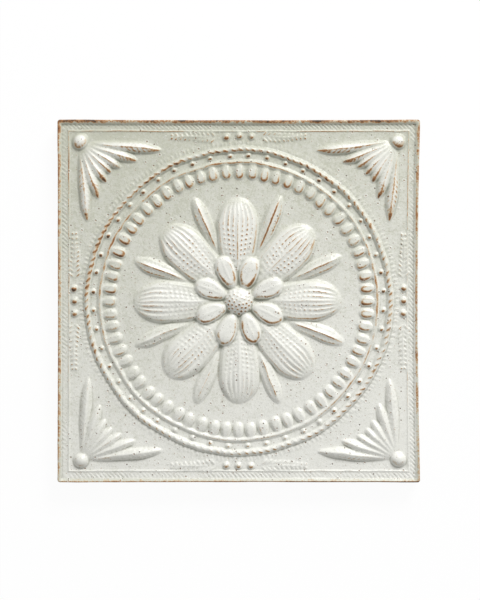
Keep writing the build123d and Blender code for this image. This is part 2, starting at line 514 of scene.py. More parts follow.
def dome_form(name, radius, sink, ground, centre_x=0.0, centre_y=0.0):
    """The part of a ball that stands above the ground, with a little below it."""
    rows, columns, below = 20, 48, 0.5 * MM
    low = math.acos(max(-1.0, (sink - below) / radius))
    tilt = np.linspace(0.0, low, rows)[1:, None]
    turn = np.linspace(0, FULL_TURN, columns, endpoint=False)
    x = centre_x + radius * np.sin(tilt) * np.cos(turn)
    y = centre_y + radius * np.sin(tilt) * np.sin(turn)
    z = np.broadcast_to(radius * np.cos(tilt) - sink, x.shape)
    points = np.stack([x, y, z + ground], axis=-1).reshape(-1, 3)
    points = np.vstack([points, [centre_x, centre_y, ground + radius - sink]])
    top = len(points) - 1
    beside = [(column + 1) % columns for column in range(columns)]
    faces = [
        [row + column, row + columns + column, row + columns + beside[column], row + beside[column]]
        for row in range(0, (rows - 2) * columns, columns)
        for column in range(columns)
    ]
    faces += [[top, column, beside[column]] for column in range(columns)]
    return mesh_object(name, points, faces)


def strand_form(name, radius, half_length, half_width, height, turn, ground):
    """A long low dome at this radius from the tile's middle, turned away from the radius."""
    strand = dome_form(name, 1.0, 0.0, 0.0)
    points = np.array([point.co for point in strand.data.vertices])
    long_way = points[:, 0] * half_length
    short_way = points[:, 1] * half_width
    x = radius + long_way * math.cos(turn) - short_way * math.sin(turn)
    y = long_way * math.sin(turn) + short_way * math.cos(turn)
    z = ground + points[:, 2] * height
    strand.data.vertices.foreach_set("co", np.stack([x, y, z], axis=1).ravel())
    return strand


def ring_tree():
    """Copies of a form about a centre: round a full ring, as a fan whose outer copies are
    longer, in a row whose copies get smaller, or as a spiral over a dome. Sizes and turns vary a
    little from copy to copy."""
    w, given, out = geometry_tree(
        "Ring of forms",
        [
            ("Form", "Object", None),
            ("Material", "Material", None),
            ("Count", "Int", 8),
            ("First angle", "Float", 0.0),
            ("Angle step", "Float", 0.785),
            ("Centre", "Vector", (0.0, 0.0, 0.0)),
            ("Longer outwards", "Float", 0.0),
            ("Longer power", "Float", 1.0),
            ("Row step", "Vector", (0.0, 0.0, 0.0)),
            ("Taper", "Float", 0.0),
            ("Spiral pitch", "Float", 0.0),
            ("Dome radius", "Float", 0.0),
            ("Dome depth", "Float", 0.0),
            ("Size variation", "Float", 0.0),
            ("Turn variation", "Float", 0.0),
            ("Seed", "Int", 1),
        ],
    )
    index = w.node("GeometryNodeInputIndex").outputs[0]

    def random(low, high, seed):
        made = w.node("FunctionNodeRandomValue", {2: low, 3: high, "Seed": seed}, data_type="FLOAT")
        return made.outputs[1]

    turn = given["Turn variation"]
    slip = random(w.times(turn, -1.0), turn, given["Seed"])
    heading = w.add(w.times(index, given["Angle step"]), given["First angle"], slip)

    reach = w.times(w.math("SQRT", w.add(index, 0.4)), given["Spiral pitch"])
    over_reach = w.less(w.times(given["Dome radius"], given["Dome radius"]), w.times(reach, reach))
    rise = w.math("SQRT", w.math("MAXIMUM", over_reach, 0.0))
    offset = w.vector(
        w.times(reach, w.math("COSINE", heading)),
        w.times(reach, w.math("SINE", heading)),
        w.less(rise, given["Dome depth"]),
    )
    along_row = w.vector_math("MULTIPLY", given["Row step"], w.vector(index, index, index))
    place = w.vector_math("ADD", w.vector_math("ADD", offset, given["Centre"]), along_row)

    last = w.math("MAXIMUM", w.less(given["Count"], 1.0), 1.0)
    share = w.math("DIVIDE", index, last)
    outwards = w.math("ABSOLUTE", w.less(w.times(share, 2.0), 1.0))
    longer = w.times(w.math("POWER", outwards, given["Longer power"]), given["Longer outwards"])
    spread = given["Size variation"]
    size = random(w.less(1.0, spread), w.add(1.0, spread), w.add(given["Seed"], 7.0))
    tapered = w.less(1.0, w.times(share, given["Taper"]))
    scale = w.vector(w.times(w.add(longer, 1.0), tapered, size), size, 1.0)

    points = w.node("GeometryNodePoints", {"Count": given["Count"], "Position": place})
    form = w.node("GeometryNodeObjectInfo", {"Object": given["Form"]})
    turned = w.node("FunctionNodeEulerToRotation", {0: w.vector(0.0, 0.0, heading)})
    copies = w.node(
        "GeometryNodeInstanceOnPoints",
        {
            "Points": points.outputs[0],
            "Instance": form.outputs["Geometry"],
            "Rotation": turned.outputs[0],
            "Scale": scale,
        },
    )
    return finish_tree(w, copies.outputs[0], given["Material"], out)


def moulding_tree():
    """A round bar bent into a ring."""
    w, given, out = geometry_tree(
        "Round moulding",
        [
            ("Material", "Material", None),
            ("Ring radius", "Float", 0.08),
            ("Section radius", "Float", 0.0015),
            ("Height", "Float", 0.0),
        ],
    )
    path = w.node(
        "GeometryNodeCurvePrimitiveCircle", {"Resolution": 720, "Radius": given["Ring radius"]}
    )
    section = w.node(
        "GeometryNodeCurvePrimitiveCircle", {"Resolution": 40, "Radius": given["Section radius"]}
    )
    bar = w.node(
        "GeometryNodeCurveToMesh", {"Curve": path.outputs[0], "Profile Curve": section.outputs[0]}
    )
    lift = w.vector(0.0, 0.0, given["Height"])
    raised = w.node("GeometryNodeSetPosition", {"Geometry": bar.outputs[0], "Offset": lift})
    return finish_tree(w, raised.outputs[0], given["Material"], out)


class MouldMaker:
    """Lays the forms of the mould out in place and joins them."""

    def __init__(self, blank, relief, material):
        self.blank = blank
        self.relief = relief
        self.material = material
        self.ring_tree = ring_tree()
        self.bar_tree = moulding_tree()
        self.forms = []
        self.laid = []

    def lay(self, name, tree, values):
        """Lays out an object whose whole shape comes from the tree."""
        values["Material"] = self.material
        piece = with_modifier(mesh_object(name, np.zeros((0, 3)), []), tree, values)
        self.laid.append(applied(piece))

    def ring(self, name, form, copies, first=0.0, *, size, turn_degrees, seed, **more):
        """Lays out copies of a form round a ring from the angle first, unless more says
        otherwise. size and turn_degrees say how far a copy's size and turn may stray."""
        if form not in self.forms:
            self.forms.append(form)
        values = {
            "Form": form,
            "Count": copies,
            "First angle": first,
            "Angle step": FULL_TURN / copies,
            "Size variation": size,
            "Turn variation": math.radians(turn_degrees),
            "Seed": seed,
        }
        values.update({label(key): value for key, value in more.items()})
        self.lay(name, self.ring_tree, values)

    def lobe(self, name, start, tip, half_width, height, carve, rows=140, columns=81):
        """A petal or leaf on this tile's ground, made of rows by columns points."""
        peak, ground = self.relief.lobe_peak, self.blank.ground
        return lobe_form(
            name, start, tip, half_width, height, peak, ground, carve, rows, columns
        )

    def flower(self):
        """Sepals, petals, heart petals and the boss with its seeds."""
        r = self.relief
        half_step = FULL_TURN / r.petal_count / 2
        sepal = self.lobe(
            "sepal", r.sepal_start, r.sepal_tip, r.sepal_half_width, r.sepal_height, sepal_carving
        )
        petal = self.lobe(
            "petal", r.petal_start, r.petal_tip, r.petal_half_width, r.petal_height, petal_carving
        )
        heart = self.lobe(
            "heart", r.heart_start, r.heart_tip, r.heart_half_width, r.heart_height, heart_carving
        )
        self.ring("sepals", sepal, r.petal_count, half_step, size=0.02, turn_degrees=1.1, seed=3)
        self.ring("petals", petal, r.petal_count, size=0.018, turn_degrees=1.1, seed=11)
        self.ring("hearts", heart, r.petal_count, half_step, size=0.025, turn_degrees=2.2, seed=5)
        dome_radius = cap_radius(r.boss_half_width, r.boss_height)
        dome_depth = dome_radius - r.boss_height
        self.laid.append(dome_form("boss", dome_radius, dome_depth, self.blank.ground))
        seed_form = dome_form("seed", r.seed_radius, 0.0, 0.0)
        self.ring(
            "seeds", seed_form, r.seed_count, size=0.08, turn_degrees=3.0, seed=4,
            angle_step=GOLDEN_ANGLE,
            centre=(0.0, 0.0, self.blank.ground),
            spiral_pitch=0.93 * r.boss_half_width / math.sqrt(r.seed_count),
            dome_radius=dome_radius,
            dome_depth=dome_depth,
        )

    def mouldings(self):
        """The twisted outer moulding, the plain inner one, and the beads between them."""
        r = self.relief
        for name, radius, section in (
            ("outer_bar", r.outer_moulding, r.outer_round),
            ("inner_bar", r.inner_moulding, r.inner_round),
        ):
            height = self.blank.ground - r.moulding_sink
            values = {"Ring radius": radius, "Section radius": section, "Height": height}
            self.lay(name, self.bar_tree, values)
        strand = strand_form(
            "strand", r.outer_moulding, r.strand_half_length, r.strand_half_width,
            r.outer_round - r.moulding_sink + r.strand_rise, r.strand_turn, self.blank.ground,
        )
        self.ring("strands", strand, r.strand_count, size=0.001, turn_degrees=0.3, seed=8)
        stroke = strand_form(
            "fringe_stroke", r.fringe_radius, r.fringe_half_length, r.fringe_half_width,
            r.fringe_height, 0.0, self.blank.ground,
        )
        self.ring("fringe", stroke, r.fringe_count, size=0.003, turn_degrees=0.35, seed=27)
        middle = (r.outer_moulding + r.inner_moulding) / 2
        bead = dome_form(
            "band_bead", r.band_bead_radius, r.band_bead_sink, self.blank.ground, middle
        )
        half_step = math.pi / r.band_bead_count
        self.ring(
            "band_beads", bead, r.band_bead_count, half_step, size=0.002, turn_degrees=0.25, seed=21
        )

    def gadroons(self):
        """A ring of gadroons that run in from under the inner moulding."""
        r = self.relief
        gadroon = self.lobe(
            "gadroon", r.gadroon_tuck, r.gadroon_length,
            r.gadroon_half_width, r.gadroon_height, gadroon_carving, 60, 41,
        )
        for point in gadroon.data.vertices:
            point.co.x = r.inner_moulding - point.co.x
            point.co.y = -point.co.y
        self.ring("gadroons", gadroon, r.gadroon_count, size=0.003, turn_degrees=0.35, seed=17)

    def corner_fans(self):
        """A bead and a fan of leaves in each corner."""
        r = self.relief
        foot = self.blank.half_side - r.fan_inset
        bead = dome_form(
            "fan_bead", r.fan_bead_radius, r.fan_bead_sink, self.blank.ground, foot * math.sqrt(2)
        )
        self.ring("fan_beads", bead, 4, FULL_TURN / 8, size=0.002, turn_degrees=0.2, seed=9)
        leaf = self.lobe(
            "leaf", r.fan_leaf_start, r.fan_middle_tip,
            r.fan_leaf_half_width, r.fan_leaf_height, leaf_carving,
        )
        outermost = (r.fan_leaf_count - 1) / 2
        for corner, (x, y) in enumerate(((-1, -1), (1, -1), (1, 1), (-1, 1))):
            inward = math.atan2(-y, -x)
            self.ring(
                f"fan_{corner}", leaf, r.fan_leaf_count, inward - outermost * r.fan_leaf_step,
                size=0.02, turn_degrees=0.8, seed=40 + corner,
                angle_step=r.fan_leaf_step,
                centre=(x * foot, y * foot, 0.0),
                longer_outwards=r.fan_outer_tip / r.fan_middle_tip - 1,
                longer_power=r.fan_tip_power,
            )

    def side_beads(self):
        """Three beads in the middle of each side."""
        r = self.relief
        for step in (-1, 0, 1):
            bead = dome_form(
                "side_bead", r.side_bead_radius, r.side_bead_sink, self.blank.ground,
                r.side_bead_row, step * r.side_bead_pitch,
            )
            name = f"side_beads_{step + 1}"
            self.ring(name, bead, 4, size=0.002, turn_degrees=0.1, seed=31 + step)

    def fronds(self):
        """Two fronds along each side, that start by its beads and point to the corners."""
        r = self.relief
        barb = self.lobe(
            "barb", 0.0, r.frond_barb_length, r.frond_barb_half_width, r.frond_height,
            no_carving, 30, 15,
        )
        stem = self.lobe(
            "stem", 0.0, r.frond_length, r.frond_barb_half_width, r.frond_height,
            no_carving, 90, 15,
        )
        step = r.frond_length / r.frond_barb_count
        for side in range(4):
            outward = Vector((1.0, 0.0, 0.0))
            outward.rotate(Matrix.Rotation(side * FULL_TURN / 4, 3, "Z"))
            for way in (-1, 1):
                heading = (side + way) * FULL_TURN / 4
                forward = Vector((math.cos(heading), math.sin(heading), 0.0))
                start = outward * r.side_bead_row + forward * r.frond_start
                name = f"frond_{side}_{way}"
                self.ring(
                    name, stem, 1, heading, size=0.01, turn_degrees=0.5, seed=60 + side, centre=start
                )
                for lean in (-1, 1):
                    self.ring(
                        f"{name}_{lean}", barb, r.frond_barb_count, heading + lean * r.frond_turn,
                        size=0.08, turn_degrees=3.0, seed=70 + 4 * side + 2 * way + lean,
                        angle_step=0.0,
                        centre=start,
                        row_step=forward * step,
                        taper=r.frond_taper,
                    )

    def joined(self):
        """All that was laid out, as one object."""
        together = bmesh.new()
        for piece in self.laid:
            together.from_mesh(piece.data)
        mesh = bpy.data.meshes.new("mould")
        together.to_mesh(mesh)
        together.free()
        for piece in self.forms + self.laid:
            bpy.data.objects.remove(piece)
        mould = bpy.data.objects.new("mould", mesh)
        bpy.context.scene.collection.objects.link(mould)
        return mould


def make_mould(blank, relief, material):
    """Every raised form of the face laid out in place, as one object."""
    maker = MouldMaker(blank, relief, material)
    maker.flower()
    maker.gadroons()
    maker.mouldings()
    maker.corner_fans()
    maker.side_beads()
    maker.fronds()
    return maker.joined()


# The blank


def grid_lines(half, step):
    """Places of the blank's grid lines, closer together near its edges."""
    near_edge = np.array([0.0, 0.18, 0.48, 0.9, 1.44, 2.1]) * MM
    start = half - near_edge[-1]
    even = np.linspace(0.0, start, int(math.ceil(start / step)) + 1)
    outward = np.concatenate([even[:-1], half - near_edge[::-1]])
    return np.concatenate([-outward[:0:-1], outward])


def rounded(x, y, half, radius):
    """Points of a square moved so that its corners are round."""
    inner = half - radius
    p = np.clip((np.abs(x) - inner) / radius, 0, 1)
    q = np.clip((np.abs(y) - inner) / radius, 0, 1)
    new_x = np.abs(x) - radius * p + radius * p * np.sqrt(1 - q * q / 2)
    new_y = np.abs(y) - radius * q + radius * q * np.sqrt(1 - p * p / 2)
    return np.sign(x) * new_x, np.sign(y) * new_y


def make_blank(sizes):
    """The closed slab before pressing. Its top is a fine grid that carries two attributes:
    edge, the distance in from the tile's edge, and face, 1 where the mould presses."""
    half, low = sizes.half_side, sizes.back_round
    lines = grid_lines(half, sizes.grid_step)
    across = len(lines)
    top_total = across * across
    grid_x, grid_y = np.meshgrid(lines, lines)
    edge = np.minimum(half - np.abs(grid_x), half - np.abs(grid_y)).ravel()
    top_x, top_y = rounded(grid_x.ravel(), grid_y.ravel(), half, sizes.corner_round)
    top = np.stack([top_x, top_y, np.full(top_total, sizes.ground)], axis=1)
    numbers = np.arange(top_total).reshape(across, across)
    loop = np.concatenate(
        [numbers[0, :-1], numbers[:-1, -1], numbers[-1, :0:-1], numbers[:0:-1, 0]]
    )
    shoulder = sizes.ground + sizes.rim_height - sizes.rim_round
    heights = list(np.linspace(shoulder, low, 9)[1:])
    insets = [0.0] * len(heights)
    for lean in np.radians([22.5, 45.0, 67.5, 90.0]):
        heights.append(low * (1 - math.sin(lean)))
        insets.append(low * (1 - math.cos(lean)))
    for extra in (0.8 * MM, 2.4 * MM):
        heights.append(0.0)
        insets.append(low + extra)
    points = [top]
    for height, inset in zip(heights, insets):
        ring = top[loop, :2] * ((half - inset) / half)
        points.append(np.column_stack([ring, np.full(len(loop), height)]))
    faces = sheet_faces(across, across)
    rings = [loop]
    for level in range(len(heights)):
        rings.append(top_total + len(loop) * level + np.arange(len(loop)))
    for above, below in zip(rings[:-1], rings[1:]):
        around = np.stack([above, below, np.roll(below, -1), np.roll(above, -1)], axis=1)
        faces += around.tolist()
    faces.append(rings[-1][::-1].tolist())
    blank = mesh_object("tile_body", np.vstack(points), faces)
    for name, on_top in (("face", 1.0), ("edge", edge)):
        values = np.zeros(len(blank.data.vertices), np.float32)
        values[:top_total] = on_top
        blank.data.attributes.new(name, "FLOAT", "POINT").data.foreach_set("value", values)
    return blank


# Pressing the face


def bowed(w, along, across, half, bow_high, bow_low):
    """How far a point moves as its side bows in, most in the side's middle, fading inwards."""
    still, moving = 0.86, 0.97
    middle = w.less(1.0, w.math("POWER", w.math("DIVIDE", along, half), 2.0))
    reach = w.math("DIVIDE", across, half)
    high = w.times(w.smooth(reach, still, moving), bow_high)
    low = w.times(w.smooth(w.times(reach, -1.0), still, moving), bow_low)
    return w.times(w.less(low, high), middle)


def mould_relief(w, given, x, y):
    """Height of the mould over each point, averaged over a few rays."""
    mould = w.node("GeometryNodeObjectInfo", {"Object": given["Mould"]}).outputs["Geometry"]
    ray_height = 0.1
    ray_steps = ((0.0, 0.0), (1.0, 0.5), (-0.5, 1.0), (-1.0, -0.5), (0.5, -1.0))
    heights = []
    for step_x, step_y in ray_steps:
        from_x = w.add(w.times(given["Ray spread"], step_x), x)
        from_y = w.add(w.times(given["Ray spread"], step_y), y)
        ray = w.node(
            "GeometryNodeRaycast",
            {
                "Target Geometry": mould,
                "Source Position": w.vector(from_x, from_y, ray_height),
                "Ray Direction": (0.0, 0.0, -1.0),
                "Ray Length": 2 * ray_height,
            },
        )
        height = w.less(w.less(ray_height, ray.outputs["Hit Distance"]), given["Ground"])
        heights.append(w.math("MAXIMUM", w.times(height, ray.outputs["Is Hit"]), 0.0))
    return w.times(w.add(*heights), 1 / len(heights))


def rim_relief(w, given, x, y, edge, waver):
    """The raised rim, as wide as each side's own width, wavering a little in width and height."""
    half = given["Half side"]
    width_waver, height_waver, steady_edge = 1.2 * MM, 1.1 * MM, 1.0 * MM
    sides = [
        (w.less(half, y), "Rim top"),
        (w.add(half, x), "Rim left"),
        (w.less(half, x), "Rim right"),
        (w.add(half, y), "Rim bottom"),
    ]
    share = 0.0
    for distance, width in sides:
        inset = w.add(w.times(waver, width_waver), distance)
        outer_end = w.less(given[width], w.times(given["Rim round"], 0.5))
        inner_end = w.add(given[width], w.times(given["Rim round"], 0.5))
        share = w.math("MAXIMUM", share, w.smooth(inset, inner_end, outer_end))
    swell = w.times(waver, height_waver, w.smooth(edge, 0.0, steady_edge))
    crown = w.add(given["Rim height"], swell)
    over = w.math("MAXIMUM", w.less(given["Rim round"], edge), 0.0)
    left = w.less(w.times(given["Rim round"], given["Rim round"]), w.times(over, over))
    rounding = w.less(given["Rim round"], w.math("SQRT", w.math("MAXIMUM", left, 0.0)))
    return w.less(w.times(share, crown), rounding)


def border_relief(w, given, x, y, edge, waver, patches):
    """A thin raised line inside the rim, and slanting strokes scratched between the two. The
    strokes end at the upper rim's width on every side, and are fainter in patches."""
    line_waver, stroke_waver = 0.9 * MM, 1.6 * MM
    line_gap, full_past_line = 0.7 * MM, 1.3 * MM
    rim_gap, full_past_rim = 0.1 * MM, 0.8 * MM
    line_at, rim_at = given["Line inset"], given["Rim top"]
    off_line = w.less(w.add(edge, w.times(waver, line_waver)), line_at)
    off_line = w.math("DIVIDE", off_line, given["Line half width"])
    line = w.times(w.math("EXPONENT", w.times(off_line, off_line, -1.0)), given["Line height"])
    turns = w.math("DIVIDE", FULL_TURN, given["Hatch pitch"])
    stroke = w.math("SINE", w.times(w.add(x, y, w.times(waver, stroke_waver)), turns))
    inner = w.smooth(edge, w.less(line_at, line_gap), w.less(line_at, full_past_line))
    outer = w.smooth(edge, w.add(rim_at, rim_gap), w.add(rim_at, full_past_rim))
    uneven = w.smooth(patches, -0.16, 0.1, 0.15, 1.0)
    hatch = w.times(w.smooth(stroke, -0.2, 0.9), given["Hatch height"], inner, outer, uneven)
    return w.add(line, hatch)


def ground_relief(w, given, place, edge):
    """The uneven ground: broad swells and small dents, both dying away at the rim."""
    swell_size, dent_size, rim_reach = 45 * MM, 8 * MM, 2 * MM
    swell_strength, dent_strength = 4.0, 1.5
    swell = w.times(w.noise(place, swell_size, 3.0, 0.45), given["Ground wobble"], swell_strength)
    dents = w.times(w.noise(place, dent_size, 2.0), given["Ground wobble"], dent_strength)
    return w.times(w.add(swell, dents), w.smooth(edge, 0.0, rim_reach))


def press_tree(sizes):
    """Bows and roughens the sides, lifts the rim, presses the face into the mould and lets the
    glaze round it off. Stores crest, the sharpness of each ridge in millimetres."""
    sockets = [("Mould", "Object", None), ("Material", "Material", None)]
    for name in PRESS_SIZES:
        value = getattr(sizes, name)
        sockets.append((label(name), "Int" if isinstance(value, int) else "Float", value))
    w, given, out = geometry_tree("Pressed face", sockets)
    place = w.node("GeometryNodeInputPosition").outputs[0]
    x, y, z = w.parts(place)
    half = given["Half side"]

    def attribute(name):
        return w.node("GeometryNodeInputNamedAttribute", {"Name": name}, data_type="FLOAT").outputs[0]

    def blurred(value, steps):
        inputs = {"Value": value, "Iterations": steps}
        return w.node("GeometryNodeBlurAttribute", inputs, data_type="FLOAT").outputs[0]

    face, edge = attribute("face"), attribute("edge")

    # Sides: bowed, and trimmed unevenly by hand, but not at the back
    trim_depth, clear_of_back, trims_per_metre = 1.5 * MM, 2 * MM, 55.0
    near_edge = w.times(w.smooth(edge, trim_depth, 0.0), w.smooth(z, 0.0, clear_of_back))
    reach = w.times(near_edge, given["Side wobble"], 2.0)
    trim_x, trim_y = w.noise_pair(place, trims_per_metre, 4.0, 0.55)
    bow_x = bowed(w, y, x, half, given["Right bow"], given["Left bow"])
    bow_y = bowed(w, x, y, half, given["Top bow"], given["Bottom bow"])
    moved_x = w.add(x, w.times(trim_x, reach), bow_x)
    moved_y = w.add(y, w.times(trim_y, reach), bow_y)

    # Face: the mould's forms, the rim and the border, over uneven ground
    waver_size, patch_size, drifts_per_metre = 12 * MM, 30 * MM, 45.0
    waver = w.noise(place, waver_size, 3.0)
    patches = w.noise(place, patch_size, 2.0)
    drift_x, drift_y = w.noise_pair(place, drifts_per_metre, 2.5)
    cut_x = w.add(moved_x, w.times(drift_x, given["Hand drift"]))
    cut_y = w.add(moved_y, w.times(drift_y, given["Hand drift"]))
    raised = mould_relief(w, given, cut_x, cut_y)
    rim = rim_relief(w, given, x, y, edge, waver)
    border = border_relief(w, given, x, y, edge, waver, patches)
    pressed = w.add(w.math("MAXIMUM", raised, rim), ground_relief(w, given, place, edge))

    # Glaze: it fills hollows, and leaves the outermost edge as it was pressed
    fill_depth, low_form, bare_edge = 0.04 * MM, 0.3 * MM, 0.5 * MM
    crisp = blurred(pressed, 2)
    filled = w.less(blurred(pressed, given["Glaze fill"]), fill_depth)
    scratched = w.times(border, w.smooth(raised, low_form, 0.0))
    glazed = blurred(w.add(w.math("MAXIMUM", crisp, filled), scratched), 1)
    inside = w.smooth(edge, 0.0, bare_edge)
    glazed = w.add(w.times(glazed, inside), w.times(pressed, w.less(1.0, inside)))
    crest = w.times(w.less(glazed, blurred(glazed, given["Crest reach"])), face, 1 / MM)

    stored = w.node(
        "GeometryNodeStoreNamedAttribute",
        {"Geometry": given["Geometry"], "Name": "crest", "Value": crest},
        data_type="FLOAT",
    )
    lift = w.times(w.less(w.add(given["Ground"], glazed), z), face)
    moved = w.vector(moved_x, moved_y, w.add(z, lift))
    body = w.node("GeometryNodeSetPosition", {"Geometry": stored.outputs[0], "Position": moved})
    return finish_tree(w, body.outputs[0], given["Material"], out)


def make_body(sizes, relief, glaze):
    """The tile's body: a blank pressed into the mould, then thinned where it is flat."""
    mould = make_mould(sizes, relief, glaze)
    body = make_blank(sizes)
    values = {label(name): getattr(sizes, name) for name in PRESS_SIZES}
    values.update({"Mould": mould, "Material": glaze})
    applied(with_modifier(body, press_tree(sizes), values))
    bpy.data.objects.remove(mould)
    triangles = sum(len(face.vertices) - 2 for face in body.data.polygons)
    thinning = body.modifiers.new("Thin flat places", "DECIMATE")
    thinning.ratio = min(1.0, sizes.triangle_limit / triangles)
    applied(body)
    body.data.polygons.foreach_set("use_smooth", [True] * len(body.data.polygons))
    for name in ("face", "edge"):
        body.data.attributes.remove(body.data.attributes[name])
    return body


# Glaze and clay


class GlazeMaker:
    """Builds the glazed stoneware material."""

    def __init__(self, look, blank):
        self.look = look
        self.half = blank.half_side
        self.ground = blank.ground
        self.material = bpy.data.materials.new("stoneware_glaze")
        self.material.use_nodes = True
        self.material.node_tree.nodes.clear()
        self.w = Wiring(self.material.node_tree)
        w = self.w
        coordinates = w.node("ShaderNodeTexCoord").outputs
        self.place = coordinates["Object"]
        self.x, self.y, self.height = w.parts(self.place)
        self.crest = w.node("ShaderNodeAttribute", attribute_name="crest").outputs["Fac"]
        normal = w.parts(coordinates["Normal"])
        self.faces_down = w.times(normal[1], -1.0)
        from_middle = w.math("MAXIMUM", w.math("ABSOLUTE", self.x), w.math("ABSOLUTE", self.y))
        off_rim, well_on_rim = 2.6 * MM, 1.6 * MM
        self.inset = w.less(self.half, from_middle)
        self.on_rim = w.smooth(self.inset, off_rim, well_on_rim)
        self.skin = self.unrolled(normal[2])
        self.broad = w.noise(self.place, 42 * MM, 2.0)
        self.patchy = w.noise(self.place, 9 * MM, 3.0)
        self.small = w.noise(self.place, 3 * MM, 2.0)
        self.fine = w.noise(self.place, 1.1 * MM, 3.0, 0.6)
        self.grain = w.noise(self.place, 0.35 * MM, 2.0, 0.6)

    def mix(self, amount, first, second, kind="RGBA"):
        """first and second mixed. A colour may be given as three numbers."""
        made = self.w.node("ShaderNodeMix", {0: amount}, data_type=kind)
        first_in, second_in, result = MIX_SOCKETS[kind]
        for socket, value in ((first_in, first), (second_in, second)):
            whole = isinstance(value, bpy.types.NodeSocket) or kind != "RGBA"
            self.w.feed(made.inputs[socket], value if whole else (*value, 1.0))
        return made.outputs[result]

    def unrolled(self, faces_up):
        """Places on the skin laid flat: the face seen from above, and the sides unrolled well
        away from it."""
        w, side_shift = self.w, 0.37
        upright = w.math("LESS_THAN", w.math("ABSOLUTE", faces_up), 0.5)
        face = w.vector(self.x, self.y)
        sides = w.vector(w.add(self.x, self.y), w.add(self.height, side_shift))
        return self.mix(upright, face, sides, "VECTOR")

    def spots(self, cell, smallest, largest, common, hard):
        """Round ragged spots, at most one to a cell. common is the share of cells with a spot,
        and hard the share of a spot's radius inside which it shows fully. Returns how much of a
        spot is here, the distance to its middle over its radius, and a number that differs from
        spot to spot."""
        w = self.w
        cells = w.node(
            "ShaderNodeTexVoronoi", {"Vector": self.skin, "Scale": 1.0 / cell, "Randomness": 0.9},
            voronoi_dimensions="2D",
        )
        chance = w.node("ShaderNodeSeparateColor", {0: cells.outputs["Color"]}).outputs
        size = w.smooth(chance[0], 1.0 - common, 1.0, smallest / cell, largest / cell)
        size = w.times(size, w.add(1.0, w.times(w.noise(self.place, cell / 9, 2.0), 0.9)))
        there = w.math("GREATER_THAN", chance[0], 1.0 - common)
        away = w.math("DIVIDE", cells.outputs["Distance"], size)
        return w.times(w.smooth(away, 1.0, hard), there), away, chance[1]

    def ridge_thinness(self, speckle):
        """How thin the glaze lies on ridges: most on sharp ones and on their lower edges, less
        towards the tile's lower side where it ran together, and unevenly at every scale."""
        w = self.w
        uneven = w.add(1.0, w.times(self.broad, 2.0), w.times(self.patchy, 1.9), speckle)
        lower_edge = w.math("MAXIMUM", w.add(w.times(self.faces_down, 1.5), 1.0), 0.15)
        run_down = w.smooth(self.y, -0.98 * self.half, 0.5 * self.half, 0.5, 1.12)
        sharp = w.math("MAXIMUM", self.crest, 0.0)
        return w.times(sharp, w.math("MAXIMUM", uneven, 0.0), lower_edge, run_down)

    def rim_thinness(self, speckle, on_top):
        """How thin the glaze lies on the rim: worn all over, most at the outer edge and least near the
        lower side, and burnt in patches along the upper side. Along the lower edge, mostly towards the
        right, it is darkened as a painted shadow under the tile's lower edge."""
        w, look, half = self.w, self.look, self.half
        outer_edge = w.smooth(self.inset, 1.4 * MM, 0.5 * MM)
        worn = w.add(
            w.times(outer_edge, look.edge_wear),
            w.times(speckle, look.speck_wear),
            w.times(self.patchy, look.patch_wear),
            look.rim_wear,
        )
        worn = w.times(worn, w.smooth(self.y, -0.98 * half, -0.6 * half, 0.75, 1.0))
        lower_edge = w.smooth(w.add(self.y, half), 0.8 * MM, 0.4 * MM)
        rightwards = w.smooth(self.x, -0.7 * half, 0.55 * half, 0.4, 1.3)
        # Painted shadow under the tile's lower edge, mostly towards the right.
        lower_shadow = w.times(outer_edge, lower_edge, look.lower_edge_shadow, rightwards)
        upper_rim = w.smooth(w.less(half, self.y), 1.8 * MM, 1.0 * MM)
        uneven_burn = w.add(w.times(self.patchy, 0.6), w.times(self.fine, 0.5), look.upper_burn)
        burnt_above = w.times(upper_rim, uneven_burn)
        return w.add(worn, w.times(on_top, w.add(lower_shadow, burnt_above)))

    def thinness(self):
        """How thin the glaze lies, in millimetres of ridge sharpness. On the rim most of it is the
        rim's own wear, burn and painted shadow along the lower edge, on its top more so than on the
        tile's sides."""
        w = self.w
        side_share, more_on_top = 0.6, 0.25
        speckle = w.add(w.times(self.small, 1.3), w.times(self.fine, 1.7), w.times(self.grain, 1.1))
        on_top = w.smooth(self.height, self.ground - 1 * MM, self.ground + 0.5 * MM)
        share = w.times(self.on_rim, w.add(w.times(on_top, more_on_top), side_share))
        ridges, rim = self.ridge_thinness(speckle), self.rim_thinness(speckle, on_top)
        return self.mix(share, ridges, rim, "FLOAT")

    def pale_share(self, mottle):
        """Share of the pale tone: a painted highlight over full forms, paler towards the tile's lower
        right, and little on the rim."""
        w, look = self.w, self.look
        low_form, full_form = 0.3 * MM, 2.6 * MM
        over_ground = w.less(self.height, self.ground)
        # Painted highlight: the higher a form stands over the ground, the paler it is painted.
        full = w.smooth(over_ground, low_form, full_form, 0.0, look.full_form_highlight)
        # Paler towards the lower right, darker towards the upper left.
        rightwards = w.times(self.x, look.paler_rightwards)
        slope = w.add(rightwards, w.times(self.y, -look.paler_downwards), look.middle_paleness)
        spread = w.add(slope, w.times(self.broad, 0.35), w.times(self.patchy, 0.3), mottle)
        pale_and_highlight = w.math("MAXIMUM", w.add(full, w.times(mottle, 0.6)), spread)
        pale_and_highlight = w.math("MAXIMUM", w.math("MINIMUM", pale_and_highlight, 1.0), 0.0)
        return w.times(pale_and_highlight, w.less(1.0, w.times(self.on_rim, 0.7)))

